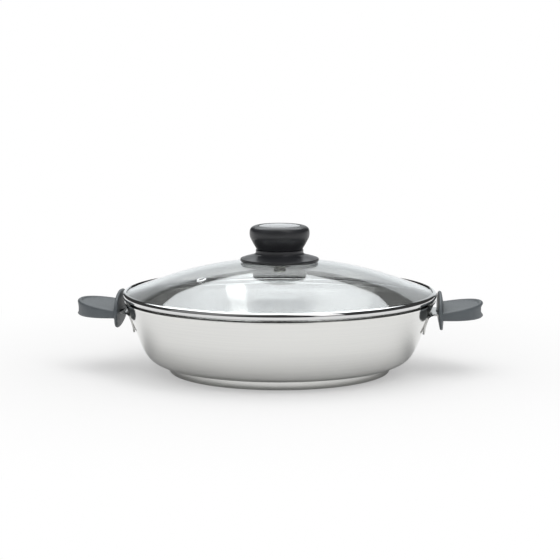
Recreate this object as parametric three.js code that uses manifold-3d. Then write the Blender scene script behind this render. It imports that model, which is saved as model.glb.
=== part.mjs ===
// Two-handled stainless serving pan with a domed glass lid.
// Millimetres, +Z up, the base underside on z = 0, the handles along X.
import * as THREE from 'three';
import { mergeVertices } from 'three/addons/utils/BufferGeometryUtils.js';
import Module from 'manifold-3d';

// Bowl
const RIM_RADIUS = 139.2;       // outside of the wall just under its lip
const RIM_HEIGHT = 66.0;        // table to the top of the lip
const SHEET = 1.0;              // drawn steel of the bowl
const LIP_TURN = 1.7;           // how far the lip turns outwards
const LIP_HEIGHT = 2.0;         // height of the turned lip
const KNUCKLE_REACH = 23.0;     // how far the floor runs on into the wall curve
const WALL_PULL = 44.0;         // length of the straight upper stretch of the wall curve
const WALL_LEAN = 0.40;         // outward lean of the wall at the rim, run over rise

// Sandwich base
const BASE_RADIUS = 99.8;
const BASE_HEIGHT = 8.8;        // table to the underside of the drawn floor
const BASE_SHEET = 0.8;         // steel cap round the aluminium core
const BASE_CORNER = 1.4;

// Lid
const LID_SEAT = 0.3;           // lid band above the lip
const BAND_OVERHANG = 1.1;      // band beyond the lip
const BAND_SHEET = 0.9;
const BAND_FLANGE = 2.4;        // how far the band reaches in over the glass
const SKIRT_DEPTH = 3.6;        // locating skirt below the lip top
const SKIRT_FIT = 0.6;          // skirt to the inside of the wall
const GLASS = 4.0;
const DOME_RADIUS = 332.0;
const DOME_RISE = 28.5;         // apex above the edge of the glass
const BRIM_WIDTH = 24.6;        // where the dome eases out towards its edge

// Steam vent
const VENT_RADIUS = 86.6;       // from the lid axis
const VENT_ANGLE = 220.3;       // degrees round from the right-hand handle
const VENT_BORE = 2.2;
const VENT_TUBE = 3.0;
const VENT_FLANGE = 4.9;
const VENT_SHEET = 0.6;

// Knob
const KNOB_FLANGE_RADIUS = 35.5;
const KNOB_NECK_RADIUS = 21.1;
const KNOB_HEAD_RADIUS = 27.1;
const FLANGE_DROP = 2.4;        // edge of the flange below the foot of the knob
const FLANGE_RIM = 3.0;         // thickness of the flange at its edge
const KNOB_BASE_HEIGHT = 10.9;  // edge of the flange to the seam under the head
const KNOB_BODY_HEIGHT = 21.4;  // seam to the crown
const CAP_RADIUS = 18.8;
const CAP_THICK = 1.4;
const CAP_DOME = 0.8;
const GASKET_RADIUS = 14.0;
const GASKET_THICK = 1.0;
const KNOB_SCREW = 2.4;         // shank radius
const SCREW_HEAD = 5.6;
const SCREW_HEAD_HEIGHT = 4.4;
const INSERT_RADIUS = 4.6;
const INSERT_LENGTH = 11.5;
const WASHER_RADIUS = 10.6;
const WASHER_THICK = 1.6;
const SEAL_RADIUS = 9.6;
const SEAL_THICK = 2.0;

// Handles
const TONGUE_DROP = 12.0;       // lip top down to the middle of the bracket tongue
const BRACKET_SHEET = 1.5;
const BRACKET_WIDTH = 52.0;     // across the wing
const TONGUE_WIDTH = 44.0;
const BRACKET_BEND = 3.2;       // bend radius between wing and tongue
const WING_DROP = 17.6;         // tongue down to the foot of the wing
const WING_FLARE = 0.7;
const WING_HUG = 0.8;           // how closely the wing follows the round of the wall
const SHIELD_GAP = 1.0;         // lid band to the shield
const SHIELD_THICK = 4.2;
const SHIELD_WIDTH = 78.0;
const SHIELD_HEIGHT = 33.6;
const SHIELD_LIFT = 1.2;        // middle of the shield above the tongue
const SHIELD_EDGE = 2.6;        // thickness at its edge
const GRIP_REACH = 36.6;        // shield to the tip
const GRIP_WIDTH = 74.0;
const GRIP_ROOT_TOP = 5.3;      // above the tongue
const GRIP_TIP_TOP = 9.3;
const GRIP_ROOT_UNDER = 3.2;    // below the tongue
const GRIP_TIP_UNDER = 4.4;
const GRIP_DISH = 1.3;          // dished top below its edge, at the tip
const GROOVE = 4.6;             // notch in the middle of the tip
const NOTCH_HALF = 17.0;        // half the length of the notch round the tip
const TONGUE_REACH = 22.0;      // tongue inside the grip
const HANDLE_SCREW = 2.0;
const HANDLE_SCREW_HEAD = 3.9;
const HANDLE_SCREW_SINK = 1.9;

// Clearances
const FIT = 0.3;                // between neighbours
const SEAT = 0.2;               // under stacked flat pieces
const LARGE = 44;               // facets round the pan and lid
const MEDIUM = 28;              // facets round the knob
const SMALL = 16;               // facets round screws and small pieces

const wasm = await Module();
wasm.setup();

// Materials of the pieces
function finish(color, roughness, metalness) {
  return new THREE.MeshStandardMaterial({ color, roughness, metalness });
}
const STEEL = finish('#c9cac8', 0.28, 1.0);
const BRIGHT = finish('#d9dadb', 0.12, 1.0);
const ALUMINIUM = finish('#b4b6b8', 0.5, 1.0);
const BRASS = finish('#b5913f', 0.35, 1.0);
const GREY_RESIN = finish('#5b6063', 0.62, 0.0);
const BLACK_RESIN = finish('#26272a', 0.42, 0.0);
const SILICONE = finish('#8d9092', 0.8, 0.0);
const CLEAR = finish('#dde5e6', 0.03, 0.0);
CLEAR.transparent = true;
CLEAR.opacity = 0.35;

// One closed body with its faces out, from any indexed or plain geometry
function closeBody(geometry) {
  geometry.deleteAttribute('normal');
  geometry.deleteAttribute('uv');
  const merged = mergeVertices(geometry, 1e-4);
  const at = merged.getAttribute('position');
  const old = merged.getIndex().array;
  const kept = [];
  let volume = 0;
  const a = new THREE.Vector3();
  const b = new THREE.Vector3();
  const c = new THREE.Vector3();
  for (let i = 0; i < old.length; i += 3) {
    const [p, q, r] = [old[i], old[i + 1], old[i + 2]];
    if (p === q || q === r || p === r) continue;
    kept.push(p, q, r);
    a.fromBufferAttribute(at, p);
    b.fromBufferAttribute(at, q);
    c.fromBufferAttribute(at, r);
    volume += a.dot(b.cross(c));
  }
  if (volume < 0) {
    for (let i = 0; i < kept.length; i += 3) [kept[i], kept[i + 1]] = [kept[i + 1], kept[i]];
  }
  merged.setIndex(kept);
  return merged;
}

// Turned piece: profile of [radius, height] about Z
function turned(profile, facets) {
  const points = profile.map(([r, z]) => new THREE.Vector2(Math.max(r, 0), z));
  const first = points[0];
  const last = points[points.length - 1];
  const onAxis = first.x === 0 && last.x === 0;
  if (!onAxis) points.push(first.clone());
  const body = new THREE.LatheGeometry(points, facets);
  body.rotateX(Math.PI / 2);
  return closeBody(body);
}

// Skin through equal loops of points, closed at both ends by a middle point
function lofted(loops) {
  const count = loops[0].length;
  const at = [];
  const faces = [];
  for (const loop of loops) for (const p of loop) at.push(p[0], p[1], p[2]);
  for (let k = 0; k + 1 < loops.length; k += 1) {
    for (let i = 0; i < count; i += 1) {
      const j = (i + 1) % count;
      const low = k * count;
      const high = low + count;
      faces.push(low + i, low + j, high + j, low + i, high + j, high + i);
    }
  }
  for (const [k, turn] of [[0, false], [loops.length - 1, true]]) {
    const middle = [0, 1, 2].map((n) => loops[k].reduce((sum, p) => sum + p[n], 0) / count);
    const hub = at.length / 3;
    at.push(...middle);
    for (let i = 0; i < count; i += 1) {
      const j = (i + 1) % count;
      const base = k * count;
      faces.push(...(turn ? [hub, base + i, base + j] : [hub, base + j, base + i]));
    }
  }
  const body = new THREE.BufferGeometry();
  body.setAttribute('position', new THREE.Float32BufferAttribute(at, 3));
  body.setIndex(faces);
  return closeBody(body);
}

function solid(geometry) {
  const at = geometry.getAttribute('position').array;
  const faces = geometry.getIndex().array;
  const mesh = new wasm.Mesh({
    numProp: 3,
    vertProperties: new Float32Array(at),
    triVerts: new Uint32Array(faces),
  });
  mesh.merge();
  return new wasm.Manifold(mesh);
}

function skin(body) {
  const mesh = body.getMesh();
  const out = new THREE.BufferGeometry();
  out.setAttribute('position', new THREE.Float32BufferAttribute(mesh.vertProperties, 3));
  out.setIndex(Array.from(mesh.triVerts));
  return closeBody(out);
}

// Upright round tool or pin between two heights
function rod(radius, low, high, facets = SMALL) {
  return turned([[0, low], [radius, low], [radius, high], [0, high]], facets);
}

// Box between two corners
function block(low, high) {
  const size = high.map((v, i) => v - low[i]);
  const body = new THREE.BoxGeometry(size[0], size[1], size[2]);
  body.translate(...high.map((v, i) => (v + low[i]) / 2));
  return closeBody(body);
}

// Cross recess cut into a screw head whose outer face is at the given height
function crossRecess(reach, wide, low, high) {
  const along = solid(block([-reach, -wide, low], [reach, wide, high]));
  return along.add(solid(block([-wide, -reach, low], [wide, reach, high])));
}

// Both sides of a bent strip, offset from its middle line, as one closed outline
function strip(middle, thick) {
  const left = [];
  const right = [];
  middle.forEach((p, i) => {
    const before = middle[Math.max(i - 1, 0)];
    const after = middle[Math.min(i + 1, middle.length - 1)];
    const d1 = unit(p[0] - before[0], p[1] - before[1]);
    const d2 = unit(after[0] - p[0], after[1] - p[1]);
    const d = unit(d1[0] + d2[0], d1[1] + d2[1]);
    const lean = i === 0 || i === middle.length - 1 ? 1 : Math.max(d[0] * d1[0] + d[1] * d1[1], 0.5);
    const half = thick / 2 / lean;
    left.push([p[0] - d[1] * half, p[1] + d[0] * half]);
    right.push([p[0] + d[1] * half, p[1] - d[0] * half]);
  });
  return { left, right, outline: [...left, ...right.reverse()] };
}

function unit(x, y) {
  const length = Math.hypot(x, y) || 1;
  return [x / length, y / length];
}

// Bowl wall
const WALL_TOP = RIM_HEIGHT - LIP_HEIGHT;
const FLOOR_RADIUS = BASE_RADIUS + SEAT;
function wallPoint(t) {
  const ends = [
    [FLOOR_RADIUS, BASE_HEIGHT],
    [FLOOR_RADIUS + KNUCKLE_REACH, BASE_HEIGHT],
    [RIM_RADIUS - WALL_LEAN * WALL_PULL, WALL_TOP - WALL_PULL],
    [RIM_RADIUS, WALL_TOP],
  ];
  const s = 1 - t;
  const share = [s * s * s, 3 * s * s * t, 3 * s * t * t, t * t * t];
  return [0, 1].map((n) => ends.reduce((sum, p, i) => sum + p[n] * share[i], 0));
}
const WALL_STEPS = 9;
const WALL_OUT = Array.from({ length: WALL_STEPS + 1 }, (_, i) => wallPoint(i / WALL_STEPS));
const WALL_IN = WALL_OUT.map((p, i) => {
  const before = WALL_OUT[Math.max(i - 1, 0)];
  const after = WALL_OUT[Math.min(i + 1, WALL_STEPS)];
  const d = i === 0 ? [1, 0] : unit(after[0] - before[0], after[1] - before[1]);
  return [p[0] - d[1] * SHEET, p[1] + d[0] * SHEET];
});
function radiusAt(line, height) {
  let i = 0;
  while (i + 2 < line.length && line[i + 1][1] < height) i += 1;
  const [low, high] = [line[i], line[i + 1]];
  return low[0] + ((height - low[1]) / (high[1] - low[1])) * (high[0] - low[0]);
}
const LIP_RADIUS = RIM_RADIUS + LIP_TURN;

function panShell() {
  const lip = [
    [RIM_RADIUS + LIP_TURN * 0.45, WALL_TOP + LIP_HEIGHT * 0.4],
    [LIP_RADIUS, WALL_TOP + LIP_HEIGHT * 0.7],
    [LIP_RADIUS - 0.1, RIM_HEIGHT - 0.15],
    [LIP_RADIUS - 0.5, RIM_HEIGHT],
    [RIM_RADIUS + LIP_TURN * 0.3, RIM_HEIGHT],
    [RIM_RADIUS - SHEET * 0.4, WALL_TOP + LIP_HEIGHT * 0.68],
  ];
  const inner = WALL_IN.slice(1).reverse();
  const floor = [[FLOOR_RADIUS, BASE_HEIGHT + SHEET], [0, BASE_HEIGHT + SHEET]];
  return turned([[0, BASE_HEIGHT], ...WALL_OUT, ...lip, ...inner, ...floor], LARGE);
}

function baseCore() {
  const radius = BASE_RADIUS - BASE_SHEET - SEAT;
  return turned([
    [0, BASE_SHEET + SEAT],
    [radius - BASE_CORNER, BASE_SHEET + SEAT],
    [radius, BASE_SHEET + SEAT + BASE_CORNER],
    [radius, BASE_HEIGHT - SEAT],
    [0, BASE_HEIGHT - SEAT],
  ], LARGE);
}

function baseCap() {
  const outer = BASE_RADIUS;
  const inner = outer - BASE_SHEET;
  const top = BASE_HEIGHT - SEAT;
  return turned([
    [0, 0],
    [outer - BASE_CORNER, 0],
    [outer - BASE_CORNER * 0.3, BASE_CORNER * 0.3],
    [outer, BASE_CORNER],
    [outer, top - 0.9],
    [outer - 0.35, top - 0.2],
    [inner, top],
    [inner, BASE_SHEET + BASE_CORNER],
    [inner - BASE_CORNER, BASE_SHEET],
    [0, BASE_SHEET],
  ], LARGE);
}

// Lid glass and its steel band
const BAND_RADIUS = LIP_RADIUS + BAND_OVERHANG;
const BAND_FOOT = RIM_HEIGHT + LID_SEAT;
const EDGE_TOP = BAND_FOOT + BAND_SHEET + FIT + GLASS * 1.03;
const BEAD = (EDGE_TOP + FIT + BAND_SHEET - BAND_FOOT) / 2;
const GLASS_EDGE = BAND_RADIUS - BEAD;
const APEX = EDGE_TOP + DOME_RISE;
const BREAK_RADIUS = GLASS_EDGE - BRIM_WIDTH;
function domeHeight(radius, sphere) {
  return APEX - DOME_RADIUS + Math.sqrt(sphere * sphere - radius * radius);
}
function brimPoint(t) {
  const start = [BREAK_RADIUS, domeHeight(BREAK_RADIUS, DOME_RADIUS)];
  const slope = -BREAK_RADIUS / Math.sqrt(DOME_RADIUS ** 2 - BREAK_RADIUS ** 2);
  const run = (GLASS_EDGE - BREAK_RADIUS) / 2;
  const knee = [BREAK_RADIUS + run, start[1] + slope * run];
  const end = [GLASS_EDGE, EDGE_TOP];
  const s = 1 - t;
  return [0, 1].map((n) => s * s * start[n] + 2 * s * t * knee[n] + t * t * end[n]);
}
const HUB_HOLE = KNOB_SCREW + 1.6;
const DOME_STEPS = 6;
const BRIM_STEPS = 3;
const BEAD_STEPS = 6;
const GLASS_TOP = [];
for (let i = 0; i < DOME_STEPS; i += 1) {
  const radius = HUB_HOLE + ((BREAK_RADIUS - HUB_HOLE) * i) / DOME_STEPS;
  GLASS_TOP.push([radius, domeHeight(radius, DOME_RADIUS)]);
}
for (let i = 0; i <= BRIM_STEPS; i += 1) GLASS_TOP.push(brimPoint(i / BRIM_STEPS));
const GLASS_UNDER = GLASS_TOP.map((p, i) => {
  const before = GLASS_TOP[Math.max(i - 1, 0)];
  const after = GLASS_TOP[Math.min(i + 1, GLASS_TOP.length - 1)];
  const d = unit(after[0] - before[0], after[1] - before[1]);
  const still = i === 0 || i === GLASS_TOP.length - 1;
  return still ? [p[0], p[1] - GLASS / d[0]] : [p[0] + d[1] * GLASS, p[1] - d[0] * GLASS];
});

// Moves a piece made upright at the origin to the vent, square to the glass
const VENT_TURN = (VENT_ANGLE * Math.PI) / 180;
const VENT_LEAN = Math.asin(VENT_RADIUS / DOME_RADIUS);
function toVent(geometry) {
  geometry.rotateY(VENT_LEAN);
  geometry.rotateZ(VENT_TURN);
  const height = domeHeight(VENT_RADIUS, DOME_RADIUS);
  return geometry.translate(
    VENT_RADIUS * Math.cos(VENT_TURN),
    VENT_RADIUS * Math.sin(VENT_TURN),
    height,
  );
}

function lidGlass() {
  const dome = turned([...GLASS_TOP, ...GLASS_UNDER.slice().reverse()], LARGE);
  const hole = toVent(rod(VENT_TUBE + FIT, -GLASS - 4, 4));
  return skin(solid(dome).subtract(solid(hole)));
}

// Half-round bead over the edge of the glass, with a flange on top and a skirt below
function lidBand() {
  const half = BAND_SHEET / 2;
  const low = BAND_FOOT + half;
  const inner = [GLASS_EDGE - BAND_FLANGE, 0];
  inner[1] = glassHeightAt(inner[0]) + FIT + half + 0.1;
  const bead = [];
  for (let i = 0; i <= BEAD_STEPS; i += 1) {
    const turn = Math.PI * (0.5 - i / BEAD_STEPS);
    const reach = BEAD - half;
    bead.push([GLASS_EDGE + reach * Math.cos(turn), BAND_FOOT + BEAD + reach * Math.sin(turn)]);
  }
  const skirt = radiusAt(WALL_IN, BAND_FOOT - SKIRT_DEPTH) - SKIRT_FIT - half;
  const section = strip([
    inner,
    ...bead,
    [skirt + 0.9, low],
    [skirt, low - 0.9],
    [skirt, BAND_FOOT - SKIRT_DEPTH],
  ], BAND_SHEET);
  return turned(section.outline, LARGE);
}

// Height of the glass top at a radius near its edge
function glassHeightAt(radius) {
  let i = 0;
  while (i + 2 < GLASS_TOP.length && GLASS_TOP[i + 1][0] < radius) i += 1;
  const [near, far] = [GLASS_TOP[i], GLASS_TOP[i + 1]];
  return near[1] + ((radius - near[0]) / (far[0] - near[0])) * (far[1] - near[1]);
}

function ventEyelet() {
  const top = FIT;
  const foot = -GLASS - FIT;
  return toVent(turned([
    [VENT_BORE, foot - VENT_SHEET],
    [VENT_FLANGE - 0.5, foot - VENT_SHEET],
    [VENT_FLANGE - 0.3, foot],
    [VENT_TUBE, foot],
    [VENT_TUBE, top],
    [VENT_FLANGE, top],
    [VENT_FLANGE - 0.2, top + VENT_SHEET * 0.8],
    [VENT_TUBE, top + VENT_SHEET * 1.4],
    [VENT_BORE + 0.3, top + VENT_SHEET],
    [VENT_BORE, top],
  ], SMALL));
}

// Knob stack on the lid axis
const GASKET_FOOT = APEX + SEAT;
const KNOB_FOOT = GASKET_FOOT + GASKET_THICK + SEAT;
const FLANGE_FOOT = KNOB_FOOT - FLANGE_DROP;
const SEAM = FLANGE_FOOT + KNOB_BASE_HEIGHT;
const CROWN = SEAM + FIT + KNOB_BODY_HEIGHT;
const SHANK_HOLE = KNOB_SCREW + 0.6;
const UNDER_GLASS = domeHeight(SEAL_RADIUS, DOME_RADIUS - GLASS);
const SEAL_TOP = UNDER_GLASS - SEAT;
const WASHER_TOP = SEAL_TOP - SEAL_THICK - SEAT;
const HEAD_TOP = WASHER_TOP - WASHER_THICK - SEAT;
const INSERT_FOOT = SEAM + FIT + SEAT;

function ring(inner, outer, low, high, facets) {
  return turned([[inner, low], [outer, low], [outer, high], [inner, high]], facets);
}

function knobBase() {
  const rise = KNOB_BASE_HEIGHT;
  const edge = KNOB_FLANGE_RADIUS;
  const neck = KNOB_NECK_RADIUS;
  return turned([
    [SHANK_HOLE, KNOB_FOOT],
    [GASKET_RADIUS + 4, KNOB_FOOT],
    [edge - 1.0, FLANGE_FOOT],
    [edge - 0.2, FLANGE_FOOT + FLANGE_RIM * 0.16],
    [edge, FLANGE_FOOT + FLANGE_RIM * 0.4],
    [edge, FLANGE_FOOT + FLANGE_RIM * 0.7],
    [edge - 0.4, FLANGE_FOOT + FLANGE_RIM * 0.92],
    [edge - 1.2, FLANGE_FOOT + FLANGE_RIM],
    [neck + 1.9, FLANGE_FOOT + rise * 0.62],
    [neck + 0.7, FLANGE_FOOT + rise * 0.69],
    [neck + 0.4, FLANGE_FOOT + rise * 0.94],
    [neck - 0.1, SEAM],
    [SHANK_HOLE, SEAM],
  ], MEDIUM);
}

function knobBody() {
  const foot = SEAM + FIT;
  const rise = KNOB_BODY_HEIGHT;
  const neck = KNOB_NECK_RADIUS;
  const swell = KNOB_HEAD_RADIUS - neck;
  const pocket = INSERT_RADIUS + FIT;
  const side = [
    [0, 0], [0.05, 0.04], [0.16, 0.10], [0.42, 0.22], [0.68, 0.36], [0.90, 0.49], [0.99, 0.60],
    [1, 0.70], [0.93, 0.82], [0.72, 0.91], [0.34, 0.97],
  ].map(([out, up]) => [neck + swell * out, foot + rise * up]);
  const rim = CAP_RADIUS + FIT;
  return turned([
    [0, INSERT_FOOT + INSERT_LENGTH + 1],
    [pocket, INSERT_FOOT + INSERT_LENGTH + 1],
    [pocket, foot],
    [neck - 0.5, foot],
    ...side,
    [rim + 0.8, CROWN],
    [rim, CROWN - 0.3],
    [rim, CROWN - CAP_THICK - SEAT],
    [0, CROWN - CAP_THICK - SEAT],
  ], MEDIUM);
}

function knobCap() {
  const foot = CROWN - CAP_THICK;
  const lift = [[1, -0.5], [0.97, 0], [0.8, 0.4], [0.5, 0.77], [0.2, 0.97]];
  return turned([
    [0, foot],
    [CAP_RADIUS, foot],
    ...lift.map(([out, up]) => [CAP_RADIUS * out, CROWN - 0.35 + CAP_DOME * up]),
    [0, CROWN - 0.35 + CAP_DOME],
  ], MEDIUM);
}

function knobInsert() {
  const top = INSERT_FOOT + INSERT_LENGTH;
  return ring(KNOB_SCREW + FIT, INSERT_RADIUS, INSERT_FOOT, top, SMALL);
}

function knobScrew() {
  const foot = HEAD_TOP - SCREW_HEAD_HEIGHT;
  const tip = INSERT_FOOT + INSERT_LENGTH - 1.5;
  const body = turned([
    [0, foot],
    [SCREW_HEAD * 0.55, foot + SCREW_HEAD_HEIGHT * 0.06],
    [SCREW_HEAD * 0.88, foot + SCREW_HEAD_HEIGHT * 0.32],
    [SCREW_HEAD, foot + SCREW_HEAD_HEIGHT * 0.7],
    [SCREW_HEAD, HEAD_TOP],
    [KNOB_SCREW, HEAD_TOP],
    [KNOB_SCREW, tip - 0.8],
    [KNOB_SCREW - 0.7, tip],
    [0, tip],
  ], SMALL);
  const recess = crossRecess(SCREW_HEAD * 0.5, SCREW_HEAD * 0.11, foot - 1, foot + SCREW_HEAD_HEIGHT * 0.45);
  return skin(solid(body).subtract(recess));
}

function knobWasher() {
  const low = WASHER_TOP - WASHER_THICK;
  return turned([
    [SHANK_HOLE, low],
    [SCREW_HEAD + 1.2, low],
    [WASHER_RADIUS - 0.4, WASHER_TOP - 0.5],
    [WASHER_RADIUS, WASHER_TOP],
    [SHANK_HOLE, WASHER_TOP],
  ], MEDIUM);
}

// Right-hand handle: bracket, grip and screw
const TONGUE = RIM_HEIGHT - TONGUE_DROP;
const SHIELD_IN = BAND_RADIUS + SHIELD_GAP;
const SHIELD_OUT = SHIELD_IN + SHIELD_THICK;
const TIP = SHIELD_OUT + GRIP_REACH;
const TONGUE_END = SHIELD_OUT + TONGUE_REACH;
const SCREW_AT = SHIELD_OUT + TONGUE_REACH * 0.5;
const BRACKET_ROWS = 7;

// Middle line of the bracket as [outwards, height], from the foot of the wing
function bracketLine() {
  const half = BRACKET_SHEET / 2;
  const foot = TONGUE - WING_DROP;
  const about = TONGUE - BRACKET_BEND;
  const lean = Math.atan2(1, radiusAt(WALL_OUT, about + 0.5) - radiusAt(WALL_OUT, about - 0.5));
  const bendLow = TONGUE - BRACKET_BEND * (1 - Math.cos(lean));
  const line = [];
  const stand = (FIT + half) / Math.sin(lean);
  for (let i = 0; i <= 4; i += 1) {
    const height = foot + ((bendLow - foot) * i) / 4;
    const away = Math.max(1 - (height - foot) / 6, 0);
    line.push([radiusAt(WALL_OUT, height) + stand + WING_FLARE * away * away, height]);
  }
  const end = line[line.length - 1];
  for (let i = 1; i <= 4; i += 1) {
    const now = lean * (1 - i / 4);
    line.push([
      end[0] + BRACKET_BEND * (Math.sin(lean) - Math.sin(now)),
      TONGUE - BRACKET_BEND * (1 - Math.cos(now)),
    ]);
  }
  line.push([TONGUE_END, TONGUE]);
  return line;
}

function handleBracket() {
  const line = bracketLine();
  const sides = strip(line, BRACKET_SHEET);
  const loops = [];
  const wing = 4;
  for (let k = 0; k < line.length; k += 1) {
    const hug = WING_HUG * Math.min(Math.max(1 - (k - wing) / 4, 0), 1);
    const rise = Math.hypot(line[k][0] - line[0][0], line[k][1] - line[0][1]);
    const round = Math.min(rise, 5);
    const slim = Math.min(Math.max((k - wing) / 4, 0), 1) * (BRACKET_WIDTH - TONGUE_WIDTH);
    const half = (BRACKET_WIDTH - slim) / 2 - 5 + Math.sqrt(25 - (5 - round) ** 2);
    const place = (p, share) => {
      const y = half * share;
      const x = p[0] - hug * (p[0] - Math.sqrt(p[0] * p[0] - y * y));
      return [x, y, p[1]];
    };
    const loop = [];
    for (let i = 0; i < BRACKET_ROWS; i += 1) {
      loop.push(place(sides.left[k], -1 + (2 * i) / (BRACKET_ROWS - 1)));
    }
    const far = sides.right[line.length - 1 - k];
    for (let i = BRACKET_ROWS - 1; i >= 0; i -= 1) {
      loop.push(place(far, -1 + (2 * i) / (BRACKET_ROWS - 1)));
    }
    loops.push(loop);
  }
  const hole = rod(HANDLE_SCREW + FIT, TONGUE - 5, TONGUE + 5);
  hole.translate(SCREW_AT, 0, 0);
  return skin(solid(lofted(loops)).subtract(solid(hole)));
}

// Plan outline of the grip drawn in by a margin, as [outwards, across]
const ROOT_STEPS = 5;
const NOSE_STEPS = 20;
function gripOutline(margin) {
  const half = GRIP_WIDTH / 2 - margin;
  const root = (SHIELD_IN + SHIELD_OUT) / 2;
  const reach = TIP - margin - root;
  const out = [];
  for (let i = 0; i <= NOSE_STEPS; i += 1) {
    const turn = Math.PI * (i / NOSE_STEPS - 0.5);
    const along = Math.abs(Math.cos(turn)) ** 0.72;
    const across = Math.sign(Math.sin(turn)) * Math.abs(Math.sin(turn)) ** 0.86;
    out.push([root + reach * along, half * across]);
  }
  for (let i = 1; i < ROOT_STEPS; i += 1) {
    out.push([root, half * (1 - (2 * i) / ROOT_STEPS)]);
  }
  return out;
}

function gripBody() {
  const share = (x) => Math.max((x - SHIELD_OUT) / GRIP_REACH, 0);
  const top = (x) => TONGUE + GRIP_ROOT_TOP + (GRIP_TIP_TOP - GRIP_ROOT_TOP) * share(x);
  const under = (x) => TONGUE - GRIP_ROOT_UNDER - (GRIP_TIP_UNDER - GRIP_ROOT_UNDER) * share(x);
  const level = (margin, height) => gripOutline(margin).map(([x, y]) => [x, y, height(x)]);
  const notch = gripOutline(0).map(([x, y]) => {
    const near = Math.max(1 - (y / NOTCH_HALF) ** 2, 0);
    return [x - GROOVE * near, y, (top(x) + under(x)) / 2 + 0.4];
  });
  return lofted([
    level(2.6, under),
    level(0.9, (x) => under(x) + 0.5),
    level(0, (x) => under(x) + 1.6),
    notch,
    level(0.7, (x) => top(x) - 0.9),
    level(1.2, top),
    level(2.4, (x) => top(x) - 0.1),
    level(4.2, (x) => top(x) - 0.3 - (GRIP_DISH - 0.3) * share(x)),
  ]);
}

// Oval shield between the hand and the pan
function shieldBody() {
  const count = 30;
  const oval = (x, wide, high) => {
    const loop = [];
    for (let i = 0; i < count; i += 1) {
      const turn = (2 * Math.PI * i) / count;
      const y = wide * Math.sign(Math.cos(turn)) * Math.abs(Math.cos(turn)) ** 0.9;
      const z = high * Math.sign(Math.sin(turn)) * Math.abs(Math.sin(turn)) ** 0.9;
      loop.push([x, y, TONGUE + SHIELD_LIFT + z]);
    }
    return loop;
  };
  const wide = SHIELD_WIDTH / 2;
  const high = SHIELD_HEIGHT / 2;
  const edge = SHIELD_IN + SHIELD_EDGE;
  const size = (x, trim) => oval(x, wide - trim, high - trim);
  return lofted([
    oval(SHIELD_IN, wide * 0.35, high * 0.35),
    oval(SHIELD_IN, wide * 0.7, high * 0.7),
    size(SHIELD_IN, 0.8),
    size(SHIELD_IN + SHIELD_EDGE * 0.4, 0),
    size(edge, 0.6),
    oval(SHIELD_OUT, wide * 0.75, high * 0.6),
    oval(SHIELD_OUT, wide * 0.35, high * 0.3),
  ]);
}

const SCREW_SEAT = TONGUE - GRIP_ROOT_UNDER + HANDLE_SCREW_SINK;
function handleGrip() {
  const half = BRACKET_SHEET / 2 + FIT;
  const wide = TONGUE_WIDTH / 2 + FIT;
  const slot = block([SHIELD_IN - 20, -wide, TONGUE - half], [TONGUE_END + FIT, wide, TONGUE + half]);
  const bore = rod(HANDLE_SCREW + FIT, TONGUE - 20, TONGUE + GRIP_ROOT_TOP - 1.2);
  const sink = rod(HANDLE_SCREW_HEAD + FIT, TONGUE - 20, SCREW_SEAT - 0.6);
  bore.translate(SCREW_AT, 0, 0);
  sink.translate(SCREW_AT, 0, 0);
  const whole = solid(gripBody()).add(solid(shieldBody()));
  return skin(whole.subtract(solid(slot)).subtract(solid(bore)).subtract(solid(sink)));
}

function handleScrew() {
  const foot = TONGUE - GRIP_ROOT_UNDER - (GRIP_TIP_UNDER - GRIP_ROOT_UNDER) * 0.28 + 0.2;
  const seat = SCREW_SEAT - 0.6 - SEAT;
  const tip = TONGUE + GRIP_ROOT_TOP - 1.2 - FIT;
  const body = turned([
    [0, foot],
    [HANDLE_SCREW_HEAD - 0.6, foot],
    [HANDLE_SCREW_HEAD, foot + 0.5],
    [HANDLE_SCREW_HEAD, seat],
    [HANDLE_SCREW, seat],
    [HANDLE_SCREW, tip - 0.5],
    [HANDLE_SCREW - 0.5, tip],
    [0, tip],
  ], SMALL);
  const recess = crossRecess(HANDLE_SCREW_HEAD * 0.6, HANDLE_SCREW_HEAD * 0.13, foot - 1, foot + 0.8);
  return skin(solid(body).subtract(recess)).translate(SCREW_AT, 0, 0);
}

// The whole pan
const pan = new THREE.Group();
pan.name = 'serving_pan';
function add(name, geometry, material) {
  const piece = new THREE.Mesh(geometry, material.clone());
  piece.name = name;
  pan.add(piece);
}

add('pan_shell', panShell(), STEEL);
add('base_core', baseCore(), ALUMINIUM);
add('base_cap', baseCap(), STEEL);
for (const [side, turn] of [['right', 0], ['left', Math.PI]]) {
  add(`handle_bracket_${side}`, handleBracket().rotateZ(turn), BRIGHT);
  add(`handle_grip_${side}`, handleGrip().rotateZ(turn), GREY_RESIN);
  add(`handle_screw_${side}`, handleScrew().rotateZ(turn), BRIGHT);
}
add('lid_glass', lidGlass(), CLEAR);
add('lid_band', lidBand(), BRIGHT);
add('vent_eyelet', ventEyelet(), BRIGHT);
add('knob_gasket', ring(SHANK_HOLE, GASKET_RADIUS, GASKET_FOOT, GASKET_FOOT + GASKET_THICK, MEDIUM), SILICONE);
add('knob_base', knobBase(), BLACK_RESIN);
add('knob_body', knobBody(), BLACK_RESIN);
add('knob_insert', knobInsert(), BRASS);
add('knob_cap', knobCap(), BRIGHT);
add('knob_seal', ring(SHANK_HOLE, SEAL_RADIUS, SEAL_TOP - SEAL_THICK, SEAL_TOP, MEDIUM), SILICONE);
add('knob_washer', knobWasher(), STEEL);
add('knob_screw', knobScrew(), STEEL);

export default pan;
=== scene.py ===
"""Looks of the two-handled serving pan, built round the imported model. Metres, +Z up, handles along X."""
import math

import bmesh
import bpy
from mathutils import Matrix, Vector
from mathutils.geometry import interpolate_bezier


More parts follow.
